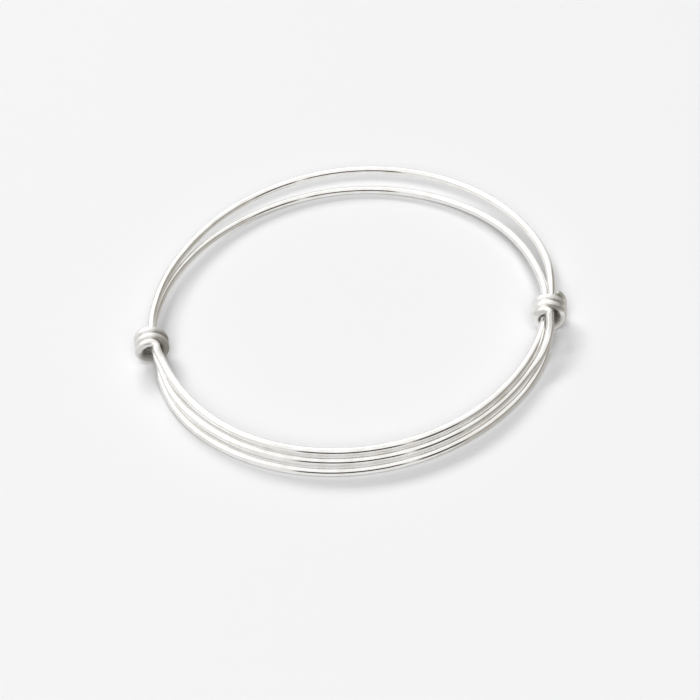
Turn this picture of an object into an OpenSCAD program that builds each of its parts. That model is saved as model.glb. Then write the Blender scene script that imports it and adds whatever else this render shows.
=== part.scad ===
// Adjustable bangle made of one round silver wire.
// The wire runs round about two and a half times. Each of its ends is wrapped as a close
// sliding coil round the two strands beside it, so three strands show at the front and two
// at the rear. The bangle lies flat: +Z is up from the table, +X runs from the left coil to
// the right coil, and -Y is the side with the three strands.

/* [Wire] */
// Diameter of the round wire
wire_diameter = 1.3; // [0.8:0.05:1.6]
// Flat faces round the wire
wire_sides = 12; // [8:1:16]
// Rounding of the two cut ends, in wire diameters
end_rounding = 0.2; // [0.05:0.05:0.4]

/* [Ring] */
// Radius of the circle that the strands follow, to the middle of the wire
ring_radius = 32; // [26:0.5:40]

/* [Sliding coils] */
// Radius of a coil to the middle of its wire, in wire diameters
coil_radius = 1.66; // [1.6:0.01:1.8]
// Advance of a coil in one turn, in wire diameters
coil_pitch = 1.09; // [1.06:0.01:1.3]
// Radius of the bend where the wire turns over into its coil, in wire diameters
coil_bend = 0.81; // [0.7:0.01:0.9]
// Turns of the left coil
left_turns = 2.45; // [2.1:0.05:2.8]
// Turns of the right coil
right_turns = 2.85; // [2.4:0.05:3]

/* [Smoothness] */
// Degrees of the ring from one section of the wire to the next
ring_step = 4; // [3:0.5:6]
// Degrees of a coil from one section of the wire to the next
coil_step = 15; // [10:5:30]

/* [Hidden] */

wire_radius = wire_diameter / 2;
// The corners of a section lie a little outside the round wire, which keeps its true area
corner_radius = wire_radius * sqrt(2 * PI / (wire_sides * sin(360 / wire_sides)));
coil_height = coil_radius * wire_diameter + wire_radius;
coil_slope = atan(coil_pitch / (2 * PI * coil_radius));
bend_steps = 6;
lead_steps = 7;
end_steps = 2;

// Each coil: angle of its middle round the ring, how far that lies outside the strands'
// circle, where the coil starts along its own axis, and the angle round the coil at which
// the wire comes in. All but the angles are in wire diameters.
COIL_ANGLE = 0;
COIL_OUT = 1;
COIL_START = 2;
COIL_FEED = 3;
left_coil = [185.75, 0.17, -2.3, 113];
right_coil = [-7.3, 0.35, -2.35, 85];

// Stations of the strands, in the order in which the wire runs from the left coil to the
// right one: angle counted on from turn to turn, how far the strand lies outside the
// strands' circle, and the height of its middle, the last two in wire diameters
ANGLE = 0;
OUT = 1;
HEIGHT = 2;
front_top_strand = [
    [196.5, -0.55, 3.23], [207, -0.75, 2.81], [221, -0.81, 2.54], [240, -0.75, 2.42], [270, -0.67, 2.38],
    [305, -0.58, 2.35], [322, -0.54, 2.33], [336, -0.35, 2.34], [347.5, -0.08, 2.48], [357.5, -0.08, 2.5]
];
rear_low_strand = [
    [372, -0.08, 1.88], [395, 0.23, 1.19], [422, 0.46, 0.63], [436, 0.54, 0.53], [455, 0.5, 0.53],
    [478, 0.15, 0.66], [505, -0.04, 1.08], [528, -0.04, 1.46], [540, 0.04, 1.58], [548.5, -0.06, 1.62]
];
front_outer_strand = [
    [553.5, -0.12, 1.3], [560, 0.16, 0.94], [574, 0.6, 0.66], [592, 0.72, 0.54], [615, 0.76, 0.53],
    [645, 0.68, 0.53], [672, 0.68, 0.53], [690, 0.73, 0.54], [700, 0.7, 0.88], [707.5, 0.56, 1.5],
    [711.5, 0.51, 1.62], [718, 0.64, 1.6]
];
rear_high_strand = [
    [732, 1.5, 2], [755, 2.15, 2.2], [785, 2.6, 2.2], [812, 2.5, 2.2], [840, 1.6, 2.1],
    [866, 0.47, 2.2], [888, 0, 2.58], [901, 0.06, 2.67], [909, -0.11, 2.68]
];
front_middle_strand = [
    [916, -0.22, 2.22], [927, 0.02, 1.83], [942, 0.04, 1.65], [962, 0, 1.52], [990, 0.02, 1.49],
    [1020, 0.04, 1.46], [1042, 0.05, 1.44], [1050, 0.2, 1.48], [1056, 0.66, 1.88], [1060.5, 0.86, 2.5],
    [1064, 0.84, 3.06]
];
stations = concat(front_top_strand, rear_low_strand, front_outer_strand, rear_high_strand, front_middle_strand);
last_station = len(stations) - 1;

function unit(v) = v / norm(v);

// Blend from point a, left along slope_a, to point b, reached along slope_b, for t from 0 to 1
function blend(a, slope_a, b, slope_b, t) =
    (2 * t^3 - 3 * t^2 + 1) * a + (t^3 - 2 * t^2 + t) * slope_a
    + (3 * t^2 - 2 * t^3) * b + (t^3 - t^2) * slope_b;

// Change per degree from station i to the next
function rise(i) = (stations[i + 1] - stations[i]) / (stations[i + 1][ANGLE] - stations[i][ANGLE]);

// Change per degree at station i, weighted to the nearer neighbour
function station_slope(i) =
    i == 0 ? rise(0)
    : i == last_station ? rise(last_station - 1)
    : let (
        before = stations[i][ANGLE] - stations[i - 1][ANGLE],
        after = stations[i + 1][ANGLE] - stations[i][ANGLE]
    ) (rise(i - 1) * after + rise(i) * before) / (before + after);

station_slopes = [for (i = [0:last_station]) station_slope(i)];

// Middle of the wire at one angle of the ring, i being the station before it
function strand_point(angle, i) =
    let (
        span = stations[i + 1][ANGLE] - stations[i][ANGLE],
        s = blend(stations[i], station_slopes[i] * span, stations[i + 1], station_slopes[i + 1] * span,
            (angle - stations[i][ANGLE]) / span),
        radius = ring_radius + s[OUT] * wire_diameter
    ) [radius * cos(angle), radius * sin(angle), s[HEIGHT] * wire_diameter];

// Middle line of all the strands, a few points from each station to the next
strand_points = concat(
    [for (i = [0:last_station - 1])
        let (
            span = stations[i + 1][ANGLE] - stations[i][ANGLE],
            steps = ceil(span / ring_step)
        )
        for (k = [0:steps - 1]) strand_point(stations[i][ANGLE] + span * k / steps, i)],
    [strand_point(stations[last_station][ANGLE], last_station - 1)]
);

// Direction along a coil's axis, away from the front strands
function coil_axis(coil) =
    let (side = sign(cos(coil[COIL_ANGLE]))) side * [-sin(coil[COIL_ANGLE]), cos(coil[COIL_ANGLE]), 0];

// Point of a coil, given how far the wire has gone round it and along it
function coil_point(coil, round, along) =
    let (
        direction = [cos(coil[COIL_ANGLE]), sin(coil[COIL_ANGLE]), 0],
        side = sign(direction[0]),
        turned = coil[COIL_FEED] + side * round / (coil_radius * wire_diameter) * 180 / PI,
        radius = coil_radius * wire_diameter
    )
    (ring_radius + coil[COIL_OUT] * wire_diameter) * direction + [0, 0, coil_height]
    + radius * cos(turned) * direction + [0, 0, radius * sin(turned)]
    + (coil[COIL_START] * wire_diameter + along) * coil_axis(coil);

// Middle line of a coil: the bend over the strands, then the close turns
function coil_points(coil, turns) =
    let (
        bend = coil_bend * wire_diameter,
        bent_round = bend * (1 - sin(coil_slope)),
        bent_along = bend * cos(coil_slope),
        steps = ceil(turns * 360 / coil_step),
        length = 2 * PI * coil_radius * wire_diameter * turns
    )
    concat(
        [for (k = [0:bend_steps])
            let (angle = (90 - coil_slope) * k / bend_steps)
            coil_point(coil, bend * (1 - cos(angle)), bend * sin(angle))],
        [for (k = [1:steps])
            let (round = length * k / steps)
            coil_point(coil, bent_round + round, bent_along + round * tan(coil_slope))]
    );

// Points of a smooth stretch of wire between two others
function lead_points(a, direction_a, b, direction_b) =
    let (length = norm(b - a))
    [for (k = [1:lead_steps - 1]) blend(a, direction_a * length, b, direction_b * length, k / lead_steps)];

function reversed(list) = [for (i = [len(list) - 1:-1:0]) list[i]];

// Middle line of the whole wire, from one cut end to the other
left_points = coil_points(left_coil, left_turns);
right_points = coil_points(right_coil, right_turns);
first_direction = unit(strand_points[1] - strand_points[0]);
last_direction = unit(strand_points[len(strand_points) - 1] - strand_points[len(strand_points) - 2]);
middle_line = concat(
    reversed(left_points),
    lead_points(left_points[0], -coil_axis(left_coil), strand_points[0], first_direction),
    strand_points,
    lead_points(strand_points[len(strand_points) - 1], last_direction, right_points[0], coil_axis(right_coil)),
    right_points
);
last_point = len(middle_line) - 1;

// Direction of the wire at each point of its middle line
directions = [for (i = [0:last_point]) unit(middle_line[min(i + 1, last_point)] - middle_line[max(i - 1, 0)])];

// A crosswise direction at each point, carried along the wire without twist
function untwisted(v, direction) = unit(v - (v * direction) * direction);
crosswise = [
    for (i = 0, v = untwisted([0, 0, 1], directions[0]); i <= last_point;
        i = i + 1, v = i <= last_point ? untwisted(v, directions[i]) : v) v
];

// Corners of one section: its middle, the wire's direction, a crosswise direction, its radius
function section(middle, direction, across, radius) =
    let (other = cross(direction, across))
    [for (k = [0:wire_sides - 1])
        let (angle = 360 * k / wire_sides)
        middle + radius * (cos(angle) * across + sin(angle) * other)];

// Sections of a rounded cut end, from its flat tip inwards: outward is the way that it faces
function end_sections(i, outward) =
    let (rounding = end_rounding * wire_diameter)
    [for (k = [0:end_steps - 1])
        let (angle = 90 * k / end_steps)
        section(middle_line[i] + outward * rounding * cos(angle) * directions[i], directions[i], crosswise[i],
            corner_radius - rounding * (1 - sin(angle)))];

sections = concat(
    end_sections(0, -1),
    [for (i = [0:last_point]) section(middle_line[i], directions[i], crosswise[i], corner_radius)],
    reversed(end_sections(last_point, 1))
);
corners = [for (s = sections) each s];

// Faces of a skin over rings of corners, closed by a fan at each end
function skin_faces(rings, sides) = concat(
    [for (k = [1:sides - 2]) [0, k, k + 1]],
    [for (i = [0:rings - 2])
        for (k = [0:sides - 1])
            let (
                a = i * sides + k,
                b = i * sides + (k + 1) % sides
            )
            each [[a, a + sides, b], [b, a + sides, b + sides]]],
    [for (k = [1:sides - 2]) let (start = (rings - 1) * sides) [start, start + k + 1, start + k]]
);

// The wire lies on the table, with the middle of its box over the origin
function middle_of(values) = (min(values) + max(values)) / 2;
resting_place = [
    -middle_of([for (p = corners) p[0]]),
    -middle_of([for (p = corners) p[1]]),
    -min([for (p = corners) p[2]])
];

module bangle_wire() {
    color("silver")
        translate(resting_place)
            polyhedron(points = corners, faces = skin_faces(len(sections), wire_sides), convexity = 12);
}

bangle_wire();
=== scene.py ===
"""Adjustable bangle of one round silver wire, lying on a pale table in soft light."""
import math

import bpy
import numpy as np
from mathutils import Matrix, Vector


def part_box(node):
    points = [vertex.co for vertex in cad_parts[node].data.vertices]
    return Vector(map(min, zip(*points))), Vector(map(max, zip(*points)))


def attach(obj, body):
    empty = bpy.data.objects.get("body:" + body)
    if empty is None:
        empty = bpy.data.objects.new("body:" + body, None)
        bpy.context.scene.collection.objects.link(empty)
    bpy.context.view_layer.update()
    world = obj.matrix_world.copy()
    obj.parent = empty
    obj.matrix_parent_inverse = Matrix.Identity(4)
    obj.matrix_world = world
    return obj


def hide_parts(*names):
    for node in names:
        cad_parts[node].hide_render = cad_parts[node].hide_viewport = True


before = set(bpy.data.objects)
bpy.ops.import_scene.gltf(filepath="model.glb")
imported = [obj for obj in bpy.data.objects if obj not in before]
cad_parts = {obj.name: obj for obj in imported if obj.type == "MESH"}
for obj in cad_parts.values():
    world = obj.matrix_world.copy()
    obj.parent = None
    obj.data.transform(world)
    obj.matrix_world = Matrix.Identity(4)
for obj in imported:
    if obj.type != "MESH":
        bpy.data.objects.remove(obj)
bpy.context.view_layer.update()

# The wire and its ring. Lengths are in metres, or in wire diameters where a comment says so, and
# angles are in degrees.
WIRE = 0.0013
WIRE_RADIUS = WIRE / 2
RING_RADIUS = 0.032
# The coils, and the rounding of the cut ends, in wire diameters
COIL_RADIUS = 1.66
COIL_PITCH = 1.09
COIL_BEND = 0.81
END_ROUNDING = 0.2
# Height of a coil's axis in metres, and slope of its turns in radians
COIL_HEIGHT = COIL_RADIUS * WIRE + WIRE_RADIUS
COIL_SLOPE = math.atan(COIL_PITCH / (2 * math.pi * COIL_RADIUS))

# Each coil: angle of its middle round the ring, how far that lies outside the strands'
# circle, its start along its own axis (both in wire diameters), the angle round the coil
# at which the wire comes in, and its turns
LEFT_COIL = {"angle": 185.75, "out": 0.17, "start": -2.3, "feed": 113, "turns": 2.45}
RIGHT_COIL = {"angle": -7.3, "out": 0.35, "start": -2.35, "feed": 85, "turns": 2.85}

# Stations of the strands in the wire's own order, from the left coil to the right one:
# angle counted on from turn to turn, how far the strand lies outside the strands' circle,
# and the height of its middle, the last two in wire diameters
FRONT_TOP_STRAND = [
    (196.5, -0.55, 3.23), (207, -0.75, 2.81), (221, -0.81, 2.54), (240, -0.75, 2.42), (270, -0.67, 2.38),
    (305, -0.58, 2.35), (322, -0.54, 2.33), (336, -0.35, 2.34), (347.5, -0.08, 2.48), (357.5, -0.08, 2.5),
]
REAR_LOW_STRAND = [
    (372, -0.08, 1.88), (395, 0.23, 1.19), (422, 0.46, 0.63), (436, 0.54, 0.53), (455, 0.5, 0.53),
    (478, 0.15, 0.66), (505, -0.04, 1.08), (528, -0.04, 1.46), (540, 0.04, 1.58), (548.5, -0.06, 1.62),
]
FRONT_OUTER_STRAND = [
    (553.5, -0.12, 1.3), (560, 0.16, 0.94), (574, 0.6, 0.66), (592, 0.72, 0.54), (615, 0.76, 0.53),
    (645, 0.68, 0.53), (672, 0.68, 0.53), (690, 0.73, 0.54), (700, 0.7, 0.88), (707.5, 0.56, 1.5),
    (711.5, 0.51, 1.62), (718, 0.64, 1.6),
]
REAR_HIGH_STRAND = [
    (732, 1.5, 2), (755, 2.15, 2.2), (785, 2.6, 2.2), (812, 2.5, 2.2), (840, 1.6, 2.1),
    (866, 0.47, 2.2), (888, 0, 2.58), (901, 0.06, 2.67), (909, -0.11, 2.68),
]
FRONT_MIDDLE_STRAND = [
    (916, -0.22, 2.22), (927, 0.02, 1.83), (942, 0.04, 1.65), (962, 0, 1.52), (990, 0.02, 1.49),
    (1020, 0.04, 1.46), (1042, 0.05, 1.44), (1050, 0.2, 1.48), (1056, 0.66, 1.88), (1060.5, 0.86, 2.5),
    (1064, 0.84, 3.06),
]
STATIONS = np.array(
    FRONT_TOP_STRAND + REAR_LOW_STRAND + FRONT_OUTER_STRAND + REAR_HIGH_STRAND + FRONT_MIDDLE_STRAND,
    dtype=float,
)
# Column of their angles
ANGLE = 0

# How finely the wire is drawn: faces round it, angle from one ring of corners to the next on
# the strands and on the coils, and rings in each bend, lead and rounded end
WIRE_SIDES = 32
RING_STEP = 1.0
COIL_STEP = 5.0
BEND_STEPS = 20
LEAD_STEPS = 24
END_STEPS = 5

# Painted shade and tarnish: dark patches on the coils and on the wire beside them, painted where shade
# and dark reflections fall, with tarnish in the coils' hollows. Each one: coil, part of it, angle round
# the coil of the patch's middle, counted from 0 on the right by way of 90 on top, how far it reaches to
# either side of that, and how strong it is. On the strands that angle is round each wire, and not round
# the coil.
SHADE_AND_TARNISH_PATCHES = (
    {"coil": LEFT_COIL, "part": "outside", "middle": -12, "reach": 88, "amount": 1.0},
    {"coil": LEFT_COIL, "part": "outside", "middle": 160, "reach": 40, "amount": 0.25},
    {"coil": LEFT_COIL, "part": "inside", "middle": -62, "reach": 138, "amount": 0.8},
    {"coil": LEFT_COIL, "part": "strands", "middle": 190, "reach": 55, "amount": 0.9},
    {"coil": LEFT_COIL, "part": "lead", "middle": 90, "reach": 150, "amount": 0.15},
    {"coil": RIGHT_COIL, "part": "outside", "middle": 57, "reach": 22, "amount": 1.0},
    {"coil": RIGHT_COIL, "part": "inside", "middle": -5, "reach": 85, "amount": 0.6},
    {"coil": RIGHT_COIL, "part": "lead", "middle": 90, "reach": 120, "amount": 0.4},
)
# Angle over which a patch fades out at either end of its reach
PATCH_FADE = 30
# Share of the painted shade and tarnish left on the worn crests of a coil's turns; the grooves between
# them keep all of it
SHADE_AND_TARNISH_ON_CRESTS = 0.6
# How rough the pliers left each coil
SATIN = ({"coil": LEFT_COIL, "amount": 1.0}, {"coil": RIGHT_COIL, "amount": 0.3})

# Where each part of a coil lies, in wire diameters. A pair goes from where there is none of the
# part to where there is all of it.
# The coil: the most that it lies out from its axis, and pairs counted from its front and its back
COIL_REACH = COIL_RADIUS + 1
COIL_FRONT = (-0.2, 0.6)
COIL_BACK = (1, 0)
# Its inside, out from its axis and up from it
INSIDE_RADIUS = (COIL_RADIUS + 0.35, COIL_RADIUS - 0.05)
INSIDE_HEIGHT = (COIL_RADIUS / 2, 0)
# The wire ahead of it, counted forwards from its front: where that stretch begins and ends
AHEAD_BEGINS = (3.5, 1.5)
AHEAD_ENDS = (-1.3, -0.5)
# The lead in that stretch, up from the axis, and the strands in it, out from the axis and up
LEAD_HEIGHT = (0.6, 1.2)
STRANDS_RADIUS = (1.7, 1.3)
STRANDS_HEIGHT = (0.6, 0)
# The grooves between its turns, by how squarely the wire faces along the axis, from 0 to 1
GROOVE_FACING = (0.3, 0.8)

# How fine the silver's noise is, to the metre. The drawing lines' has its own fineness along the
# wire and round it.
LINE_SCALE = (260, 16000, 1)
LINE_DETAIL = 4.0
WEAR_SCALE = 420.0
WEAR_DETAIL = 5.0
# Values of the noise between which the lines, the wear and the thinning of the painted shade and tarnish
# come in
LINE_RANGE = (0.3, 0.7)
WEAR_RANGE = (0.42, 0.72)
THINNING_RANGE = (0.3, 0.6)
# Share of the painted shade and tarnish that is left where it is thinned most
SHADE_AND_TARNISH_LEFT = 0.75
CLEAN_SILVER = (0.955, 0.945, 0.93, 1)
WORN_SILVER = (0.87, 0.85, 0.81, 1)
# Colour of the painted shade and tarnish, and how metallic the silver stays under it
SHADED_AND_TARNISHED_SILVER = (0.25, 0.235, 0.20, 1)
SHADED_AND_TARNISHED_METALLIC = 0.5
# Roughness between the drawing lines and on them, and what full painted shade and tarnish and full satin
# add
LINE_ROUGHNESS = (0.08, 0.14)
SHADE_AND_TARNISH_ROUGHNESS = 0.2
SATIN_ROUGHNESS = 0.32
# Relief of the drawing lines
LINE_STRENGTH = 0.05
LINE_DEPTH = 0.00002

# The table top, whose side goes well beyond the picture
TABLE_SIZE = 6.0
TABLE_COLOUR = (0.75, 0.75, 0.755, 1)
TABLE_ROUGHNESS = 0.7
TABLE_SPECULAR = 0.2
# Gap between the drawn wire and the table, so that they share no surface
TABLE_CLEARANCE = 0.000005

# The room that the silver mirrors: heading 0 is to the right, -90 the camera's side. It is bright
# overhead and a little dimmer low down. Its parts: dark low down on the camera's side but for a
# narrow gap, dimmer on the right, and brightest at the left and the rear, in two rows that meet at
# heading 180. Each part: headings and heights between which it lies, width of its soft edges,
# light as a multiple of the rest.
ROOM_BRIGHT = 1.02
ROOM_LOW = 0.84
LOW_TO_BRIGHT = (20, 42)
ROOM_PARTS = (
    {"heading": (-122, -68.5), "height": (-3, 31), "soft": 6, "light": 0.05},
    {"heading": (-63.5, -38), "height": (-9, 34), "soft": 6, "light": 0.10},
    {"heading": (-38, 48), "height": (-6, 33), "soft": 12, "light": 0.40},
    {"heading": (-38, 66), "height": (-78, -6), "soft": 16, "light": 0.60},
    {"heading": (-40, 55), "height": (38, 62), "soft": 14, "light": 0.88},
    {"heading": (70, 215), "height": (22, 58), "soft": 14, "light": 1.6},
    {"heading": (-215, -155), "height": (22, 58), "soft": 14, "light": 1.6},
)
# Warm tint of its darkest parts, and the light between which that fades to white
DARK_TINT = (1.0, 0.93, 0.82, 1)
NO_TINT = (1, 1, 1, 1)
TINT_FADES = (0.2, 0.8)
# The two lamps, which the silver doesn't mirror: direction from the bangle, distance, width and
# height, power in watts
WINDOW = {"towards": (-0.233, 0.763, 0.602), "distance": 1.6, "size": (1.0, 0.34), "power": 20.4}
SOFTBOX = {"towards": (0.0, -0.55, 0.83), "distance": 1.4, "size": (1.4, 1.4), "power": 22.6}

# The photograph's camera: turned a little to the right, looking down, and tipped
CAMERA_AZIMUTH = 2.32
CAMERA_ELEVATION = 43.79
CAMERA_ROLL = -6.96
CAMERA_DISTANCE = 0.350
CLIP_START = 0.01
CLIP_END = 20.0
# Width of its sensor in millimetres
SENSOR_WIDTH = 36.0
# The photograph's side, its focal length, and where the middle of the ring lies in it, in pixels
FRAME_PX = 700
FOCAL_PX = 2146.2
RING_CENTRE_PX = (349.8, 323.9)


def unit(v):
    """The same direction, one long."""
    return v / np.linalg.norm(v)


def blend(a, slope_a, b, slope_b, t):
    """Smooth curve from a, left along slope_a, to b, reached along slope_b, for t from 0 to 1."""
    return (
        (2 * t**3 - 3 * t**2 + 1) * a
        + (t**3 - 2 * t**2 + t) * slope_a
        + (3 * t**2 - 2 * t**3) * b
        + (t**3 - t**2) * slope_b
    )


def station_slopes():
    """Change per degree at each station, weighted to the nearer neighbour."""
    spans = np.diff(STATIONS[:, ANGLE])
    rises = np.diff(STATIONS, axis=0) / spans[:, None]
    slopes = [rises[0]]
    for before, after, rise_in, rise_out in zip(spans, spans[1:], rises, rises[1:]):
        slopes.append((rise_in * after + rise_out * before) / (before + after))
    slopes.append(rises[-1])
    return slopes


def strand_points():
    """Middle line of all the strands between the coils."""
    slopes = station_slopes()
    points = []
    for i in range(len(STATIONS) - 1):
        span = STATIONS[i + 1][ANGLE] - STATIONS[i][ANGLE]
        steps = math.ceil(span / RING_STEP)
        last = i == len(STATIONS) - 2
        for k in range(steps + last):
            angle, out, height = blend(
                STATIONS[i], slopes[i] * span, STATIONS[i + 1], slopes[i + 1] * span, k / steps
            )
            turned = math.radians(angle)
            radius = RING_RADIUS + out * WIRE
            points.append(np.array((radius * math.cos(turned), radius * math.sin(turned), height * WIRE)))
    return points


def coil_axis(coil):
    """Direction along a coil's axis, away from the front strands."""
    angle = math.radians(coil["angle"])
    side = math.copysign(1, math.cos(angle))
    return side * np.array((-math.sin(angle), math.cos(angle), 0))


def coil_outward(coil):
    """Direction from the middle of the ring to a coil."""
    angle = math.radians(coil["angle"])
    return np.array((math.cos(angle), math.sin(angle), 0))


def coil_middle(coil):
    """Point of a coil's axis level with its place on the ring."""
    return (RING_RADIUS + coil["out"] * WIRE) * coil_outward(coil) + np.array((0, 0, COIL_HEIGHT))


def coil_point(coil, gone_round, gone_along):
    """Point of a coil, given how far the wire has gone round it and along it."""
    outward = coil_outward(coil)
    side = math.copysign(1, outward[0])
    radius = COIL_RADIUS * WIRE
    turned = math.radians(coil["feed"]) + side * gone_round / radius
    round_part = radius * (math.cos(turned) * outward + np.array((0, 0, math.sin(turned))))
    return coil_middle(coil) + round_part + (coil["start"] * WIRE + gone_along) * coil_axis(coil)


def coil_points(coil):
    """Middle line of a coil: the bend over the strands, then the close turns."""
    bend = COIL_BEND * WIRE
    points = []
    for k in range(BEND_STEPS + 1):
        angle = (math.pi / 2 - COIL_SLOPE) * k / BEND_STEPS
        points.append(coil_point(coil, bend * (1 - math.cos(angle)), bend * math.sin(angle)))
    bent_round = bend * (1 - math.sin(COIL_SLOPE))
    bent_along = bend * math.cos(COIL_SLOPE)
    steps = math.ceil(coil["turns"] * 360 / COIL_STEP)
    length = 2 * math.pi * COIL_RADIUS * WIRE * coil["turns"]
    for k in range(1, steps + 1):
        gone = length * k / steps
        points.append(coil_point(coil, bent_round + gone, bent_along + gone * math.tan(COIL_SLOPE)))
    return points


def lead_points(a, direction_a, b, direction_b):
    """Points of a smooth stretch of wire between two others."""
    length = np.linalg.norm(b - a)
    shares = [k / LEAD_STEPS for k in range(1, LEAD_STEPS)]
    return [blend(a, direction_a * length, b, direction_b * length, share) for share in shares]


def wire_line():
    """Middle line of the whole wire, from one cut end to the other."""
    left = coil_points(LEFT_COIL)
    right = coil_points(RIGHT_COIL)
    strands = strand_points()
    lead_in = lead_points(left[0], -coil_axis(LEFT_COIL), strands[0], unit(strands[1] - strands[0]))
    lead_out = lead_points(strands[-1], unit(strands[-1] - strands[-2]), right[0], coil_axis(RIGHT_COIL))
    return np.array(left[::-1] + lead_in + strands + lead_out + right)


def crosswise_directions(directions):
    """A crosswise direction at each point of the wire, carried along it without twist."""
    crosswise = [unit(np.array((0, 0, 1.0)) - directions[0][2] * directions[0])]
    for direction in directions[1:]:
        before = crosswise[-1]
        crosswise.append(unit(before - np.dot(before, direction) * direction))
    return crosswise


def wire_sections(line):
    """Rings of corners along the wire with its rounded ends, and how far along the wire each lies."""
    directions = np.gradient(line, axis=0)
    directions /= np.linalg.norm(directions, axis=1)[:, None]
    crosswise = crosswise_directions(directions)
    angles = np.linspace(0, 2 * math.pi, WIRE_SIDES, endpoint=False)

    def ring(i, shift, radius):
        """Corners round point i of the line, moved on along the wire by shift."""
        other = np.cross(directions[i], crosswise[i])
        middle = line[i] + shift * directions[i]
        round_part = np.outer(np.cos(angles), crosswise[i]) + np.outer(np.sin(angles), other)
        return middle + radius * round_part

    rounding = END_ROUNDING * WIRE
    tip = []
    for k in range(END_STEPS):
        angle = math.pi / 2 * k / END_STEPS
        tip.append((rounding * math.cos(angle), WIRE_RADIUS - rounding * (1 - math.sin(angle))))
    last = len(line) - 1
    rings = [ring(0, -shift, radius) for shift, radius in tip]
    rings += [ring(i, 0, WIRE_RADIUS) for i in range(last + 1)]
    rings += [ring(last, shift, radius) for shift, radius in reversed(tip)]
    steps = np.linalg.norm(np.diff(line, axis=0), axis=1)
    along = np.concatenate(([0], np.cumsum(steps)))
    along = np.concatenate(
        ([-shift for shift, _ in tip], along, [along[-1] + shift for shift, _ in reversed(tip)])
    )
    return rings, along


def smooth_step(values, start, end):
    """Rises smoothly from 0 at start to 1 at end."""
    t = np.clip((values - start) / (end - start), 0, 1)
    return t * t * (3 - 2 * t)


def near_angle(angles, middle, reach):
    """1 within reach of the middle and 0 well beyond it, with a soft step between."""
    distance = np.abs((angles - middle + 180) % 360 - 180)
    return smooth_step(distance, reach + PATCH_FADE / 2, reach - PATCH_FADE / 2)


def coil_view(coil, corners, facing):
    """Where each corner lies as seen from a coil: wire diameters, degrees, and shares from 0 to 1."""
    axis = coil_axis(coil)
    away = corners - coil_middle(coil)
    across = away - np.outer(away @ axis, axis)
    front = coil["start"]
    back = front + COIL_BEND + COIL_PITCH * coil["turns"]
    along = away @ axis / WIRE
    radius = np.linalg.norm(across, axis=1) / WIRE
    return {
        "before_front": front - along,
        "radius": radius,
        "height": away[:, 2] / WIRE,
        "turned": np.degrees(np.arctan2(across[:, 2], across[:, 0])),
        "facing": np.degrees(np.arctan2(facing[:, 2], facing[:, 0])),
        "groove": smooth_step(np.abs(facing @ axis), *GROOVE_FACING),
        "on_coil": (radius < COIL_REACH)
        * smooth_step(along - front, *COIL_FRONT)
        * smooth_step(along - back, *COIL_BACK),
    }


def patch_amounts(patch, view):
    """How strongly one patch of painted shade and tarnish covers each corner."""
    angles = view["facing"] if patch["part"] == "strands" else view["turned"]
    near = near_angle(angles, patch["middle"], patch["reach"])
    if patch["part"] == "outside":
        kept = SHADE_AND_TARNISH_ON_CRESTS + (1 - SHADE_AND_TARNISH_ON_CRESTS) * view["groove"]
        return near * view["on_coil"] * kept
    if patch["part"] == "inside":
        inner = smooth_step(view["radius"], *INSIDE_RADIUS)
        low = smooth_step(view["height"], *INSIDE_HEIGHT)
        return near * view["on_coil"] * inner * low
    before_front = view["before_front"]
    ahead = smooth_step(before_front, *AHEAD_BEGINS) * smooth_step(before_front, *AHEAD_ENDS)
    if patch["part"] == "lead":
        return near * ahead * smooth_step(view["height"], *LEAD_HEIGHT) * (view["radius"] < COIL_REACH)
    in_middle = smooth_step(view["radius"], *STRANDS_RADIUS)
    below = smooth_step(view["height"], *STRANDS_HEIGHT)
    return near * ahead * in_middle * below


def wire_shade_and_finish(rings):
    """How much painted shade and tarnish each corner has, from 0 to 1, and how rough it is from the
    pliers.
    """
    corners = np.concatenate(rings)
    middles = np.repeat([ring.mean(axis=0) for ring in rings], WIRE_SIDES, axis=0)
    facing = (corners - middles) / WIRE_RADIUS
    shade_and_tarnish = np.zeros(len(corners))
    # Painted shade and tarnish from every patch, the strongest where they overlap
    for patch in SHADE_AND_TARNISH_PATCHES:
        view = coil_view(patch["coil"], corners, facing)
        shade_and_tarnish = np.maximum(shade_and_tarnish, patch["amount"] * patch_amounts(patch, view))
    satin = np.zeros(len(corners))
    for rough in SATIN:
        satin = np.maximum(satin, rough["amount"] * coil_view(rough["coil"], corners, facing)["on_coil"])
    return shade_and_tarnish, satin


def tube_faces(count):
    """Faces from each ring of corners to the next, and then the two flat tips."""
    faces = []
    for i in range(count - 1):
        for k in range(WIRE_SIDES):
            a = i * WIRE_SIDES + k
            b = i * WIRE_SIDES + (k + 1) % WIRE_SIDES
            faces.append((a, b, b + WIRE_SIDES, a + WIRE_SIDES))
    faces.append(tuple(reversed(range(WIRE_SIDES))))
    faces.append(tuple(range((count - 1) * WIRE_SIDES, count * WIRE_SIDES)))
    return faces


def tube_uvs(along):
    """UVs of those faces, in metres along the wire and round it. The tips' are all zero."""
    girth = 2 * math.pi * WIRE_RADIUS
    uvs = []
    for start, end in zip(along, along[1:]):
        for k in range(WIRE_SIDES):
            low = girth * k / WIRE_SIDES
            high = girth * (k + 1) / WIRE_SIDES
            uvs += [start, low, start, high, end, high, end, low]
    return uvs + [0.0, 0.0] * (2 * WIRE_SIDES)


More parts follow.
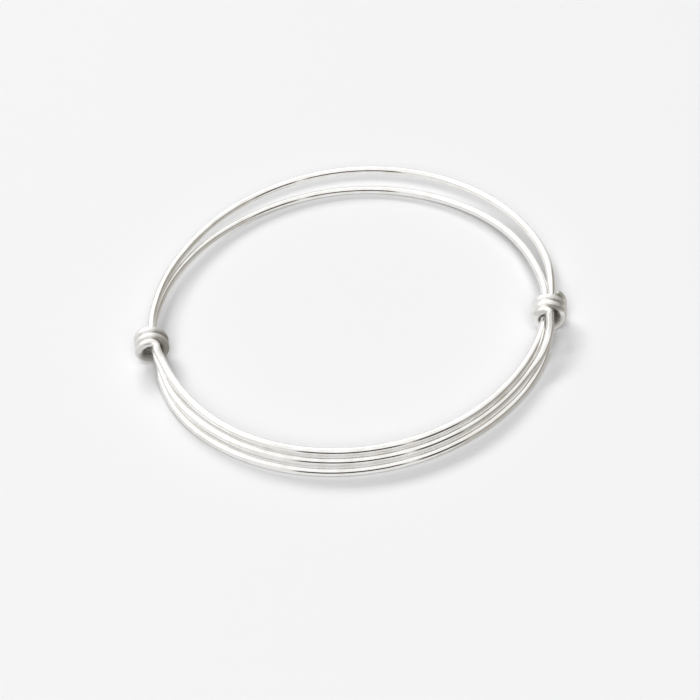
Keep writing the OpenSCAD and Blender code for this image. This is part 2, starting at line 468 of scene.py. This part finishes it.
def make_wire(name, line):
    """The wire as a fine smooth tube with flat tips, its UVs, its painted shade and tarnish, and its
    satin.
    """
    rings, along = wire_sections(line)
    faces = tube_faces(len(rings))
    mesh = bpy.data.meshes.new(name)
    mesh.from_pydata([tuple(corner) for corner in np.concatenate(rings)], [], faces)
    mesh.polygons.foreach_set("use_smooth", [True] * (len(faces) - 2) + [False, False])
    mesh.uv_layers.new(name="along_wire").data.foreach_set("uv", tube_uvs(along))
    # One attribute holds the painted shade and tarnish, another the satin
    for shade_and_finish, amounts in zip(("shade_and_tarnish", "satin"), wire_shade_and_finish(rings)):
        mesh.attributes.new(shade_and_finish, "FLOAT", "POINT").data.foreach_set("value", amounts)
    mesh.update()
    piece = bpy.data.objects.new(name, mesh)
    bpy.context.collection.objects.link(piece)
    return piece


def set_down(piece, box):
    """Moves the mesh so that its middle is the CAD box's and it lies on the table, and says how far."""
    corners = np.array([corner.co for corner in piece.data.vertices])
    low = corners.min(axis=0)
    high = corners.max(axis=0)
    box_low = np.array(box[0])
    box_high = np.array(box[1])
    shift = (box_low + box_high) / 2 - (low + high) / 2
    shift[2] = box_low[2] + TABLE_CLEARANCE - low[2]
    piece.data.transform(Matrix.Translation(Vector(shift)))
    return shift


def node_adder(tree):
    """A short way to add a node to a node tree, with its settings and inputs."""

    def add(kind, inputs=None, **settings):
        node = tree.nodes.new(kind)
        for key, value in settings.items():
            setattr(node, key, value)
        for key, value in (inputs or {}).items():
            if isinstance(value, bpy.types.NodeSocket):
                tree.links.new(value, node.inputs[key])
            else:
                node.inputs[key].default_value = value
        return node

    return add


def ramp(add, value, span=(0.0, 1.0), ends=(0.0, 1.0), **settings):
    """The value carried over from a span to a pair of ends, and held there beyond them."""
    inputs = {
        "Value": value,
        "From Min": span[0],
        "From Max": span[1],
        "To Min": ends[0],
        "To Max": ends[1],
    }
    return add("ShaderNodeMapRange", inputs, **settings).outputs["Result"]


def combined(add, operation, a, b):
    """What a math operation makes of two values."""
    return add("ShaderNodeMath", {0: a, 1: b}, operation=operation).outputs["Value"]


def mixed(add, share, a, b):
    """A colour from a to b, by the share of b in it."""
    return add("ShaderNodeMix", {"Factor": share, "A": a, "B": b}, data_type="RGBA").outputs["Result"]


def silver_material():
    """Bright polished silver: drawing lines along the wire, faint wear, painted shade and tarnish, and
    satin.
    """
    material = bpy.data.materials.new("polished_silver")
    material.use_nodes = True
    tree = material.node_tree
    tree.nodes.clear()
    add = node_adder(tree)

    def noise(place, scale, detail):
        inputs = {"Vector": place, "Scale": scale, "Detail": detail}
        return add("ShaderNodeTexNoise", inputs).outputs["Fac"]

    uv = add("ShaderNodeUVMap", uv_map="along_wire").outputs["UV"]
    stretched = add("ShaderNodeMapping", {"Vector": uv, "Scale": LINE_SCALE}).outputs["Vector"]
    lines = noise(stretched, 1.0, LINE_DETAIL)
    wear = noise(add("ShaderNodeTexCoord").outputs["Object"], WEAR_SCALE, WEAR_DETAIL)
    # Painted shade and tarnish on the wire, thinned by the wear noise below
    dark_patches = add("ShaderNodeAttribute", attribute_name="shade_and_tarnish").outputs["Fac"]
    satin = add("ShaderNodeAttribute", attribute_name="satin").outputs["Fac"]
    shade_and_tarnish = combined(add, "MULTIPLY", dark_patches, ramp(add, wear, THINNING_RANGE, (1.0, SHADE_AND_TARNISH_LEFT)))
    bright = mixed(add, ramp(add, wear, WEAR_RANGE), CLEAN_SILVER, WORN_SILVER)
    dulled = ramp(add, shade_and_tarnish, ends=(0.0, SHADE_AND_TARNISH_ROUGHNESS))
    pinched = ramp(add, satin, ends=(0.0, SATIN_ROUGHNESS))
    polish = ramp(add, lines, LINE_RANGE, LINE_ROUGHNESS)
    relief = add("ShaderNodeBump", {"Height": lines, "Strength": LINE_STRENGTH, "Distance": LINE_DEPTH})
    # The painted shade and tarnish darken the silver's colour and make it less metallic and rougher
    shader = add(
        "ShaderNodeBsdfPrincipled",
        {
            "Base Color": mixed(add, shade_and_tarnish, bright, SHADED_AND_TARNISHED_SILVER),
            "Metallic": ramp(add, shade_and_tarnish, ends=(1.0, SHADED_AND_TARNISHED_METALLIC)),
            "Roughness": combined(add, "ADD", polish, combined(add, "ADD", dulled, pinched)),
            "Normal": relief.outputs["Normal"],
        },
    )
    add("ShaderNodeOutputMaterial", {"Surface": shader.outputs["BSDF"]})
    return material


def table_material():
    """Smooth matt white table."""
    material = bpy.data.materials.new("white_table")
    material.use_nodes = True
    shader = material.node_tree.nodes["Principled BSDF"]
    shader.inputs["Base Color"].default_value = TABLE_COLOUR
    shader.inputs["Roughness"].default_value = TABLE_ROUGHNESS
    shader.inputs["Specular IOR Level"].default_value = TABLE_SPECULAR
    return material


def make_table():
    """The table top. The silver mirrors the low part of the room in its place."""
    half = TABLE_SIZE / 2
    corners = [(-half, -half, 0), (half, -half, 0), (half, half, 0), (-half, half, 0)]
    mesh = bpy.data.meshes.new("table")
    mesh.from_pydata(corners, [], [(0, 1, 2, 3)])
    mesh.materials.append(table_material())
    table = bpy.data.objects.new("table", mesh)
    bpy.context.collection.objects.link(table)
    table.visible_glossy = False


def add_lamp(name, settings):
    """A rectangular soft lamp that faces the bangle."""
    lamp = bpy.data.lights.new(name, "AREA")
    lamp.shape = "RECTANGLE"
    lamp.size, lamp.size_y = settings["size"]
    lamp.energy = settings["power"]
    lamp_object = bpy.data.objects.new(name, lamp)
    towards = Vector(settings["towards"]).normalized()
    lamp_object.location = towards * settings["distance"]
    lamp_object.rotation_mode = "QUATERNION"
    lamp_object.rotation_quaternion = towards.to_track_quat("Z", "Y")
    lamp_object.visible_glossy = False
    bpy.context.collection.objects.link(lamp_object)


def light_room():
    """The room that the silver mirrors, which lights nothing else, and the two lamps."""
    world = bpy.data.worlds.new("room")
    bpy.context.scene.world = world
    world.use_nodes = True
    world.cycles_visibility.diffuse = False
    tree = world.node_tree
    tree.nodes.clear()
    add = node_adder(tree)
    towards = add("ShaderNodeTexCoord").outputs["Generated"]
    direction = add("ShaderNodeSeparateXYZ", {"Vector": towards}).outputs
    heading = combined(add, "ARCTAN2", direction["Y"], direction["X"])
    height = add("ShaderNodeMath", {0: direction["Z"]}, operation="ARCSINE").outputs["Value"]

    def step(value, start, end, ends):
        """Smooth change from one end to the other between two angles."""
        span = (math.radians(start), math.radians(end))
        return ramp(add, value, span, ends, interpolation_type="SMOOTHSTEP")

    def between(value, angles, soft):
        """1 between two angles and 0 outside them, with soft edges."""
        rising = step(value, angles[0] - soft / 2, angles[0] + soft / 2, (0.0, 1.0))
        falling = step(value, angles[1] - soft / 2, angles[1] + soft / 2, (1.0, 0.0))
        return combined(add, "MULTIPLY", rising, falling)

    level = step(height, *LOW_TO_BRIGHT, (ROOM_LOW, ROOM_BRIGHT))
    for part in ROOM_PARTS:
        in_heading = between(heading, part["heading"], part["soft"])
        in_height = between(height, part["height"], part["soft"])
        inside = combined(add, "MULTIPLY", in_heading, in_height)
        level = combined(add, "MULTIPLY", level, ramp(add, inside, ends=(1.0, part["light"])))
    tint = mixed(add, ramp(add, level, TINT_FADES), DARK_TINT, NO_TINT)
    background = add("ShaderNodeBackground", {"Color": tint, "Strength": level})
    add("ShaderNodeOutputWorld", {"Surface": background.outputs["Background"]})
    add_lamp("window", WINDOW)
    add_lamp("softbox", SOFTBOX)


def make_camera(ring_centre):
    """The photograph's camera, aimed so that the middle of the ring falls on its own pixel."""
    azimuth = math.radians(CAMERA_AZIMUTH)
    elevation = math.radians(CAMERA_ELEVATION)
    roll = math.radians(CAMERA_ROLL)
    level = math.cos(elevation)
    back = Vector((math.sin(azimuth) * level, -math.cos(azimuth) * level, math.sin(elevation)))
    level_right = Vector((math.cos(azimuth), math.sin(azimuth), 0))
    right = math.cos(roll) * level_right + math.sin(roll) * back.cross(level_right)
    up = back.cross(right)
    across = FRAME_PX / 2 - RING_CENTRE_PX[0]
    down = FRAME_PX / 2 - RING_CENTRE_PX[1]
    aimed_back = (FOCAL_PX * back - across * right + down * up).normalized()
    right = (right - right.dot(aimed_back) * aimed_back).normalized()
    up = aimed_back.cross(right)
    data = bpy.data.cameras.new("camera")
    data.sensor_width = SENSOR_WIDTH
    data.lens = SENSOR_WIDTH * FOCAL_PX / FRAME_PX
    data.clip_start = CLIP_START
    data.clip_end = CLIP_END
    camera = bpy.data.objects.new("camera", data)
    turn = Matrix((right, up, aimed_back)).transposed().to_4x4()
    camera.matrix_world = Matrix.Translation(ring_centre + back * CAMERA_DISTANCE) @ turn
    bpy.context.collection.objects.link(camera)
    bpy.context.scene.camera = camera


wire = make_wire("silver_wire", wire_line())
# The ring is drawn round the origin, so its middle is where this shift takes it
ring_shift = set_down(wire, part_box("bangle_wire"))
wire.data.materials.append(silver_material())
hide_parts("bangle_wire")
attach(wire, "root")

make_table()
light_room()
make_camera(Vector(ring_shift))
bpy.context.scene.view_settings.view_transform = "Standard"
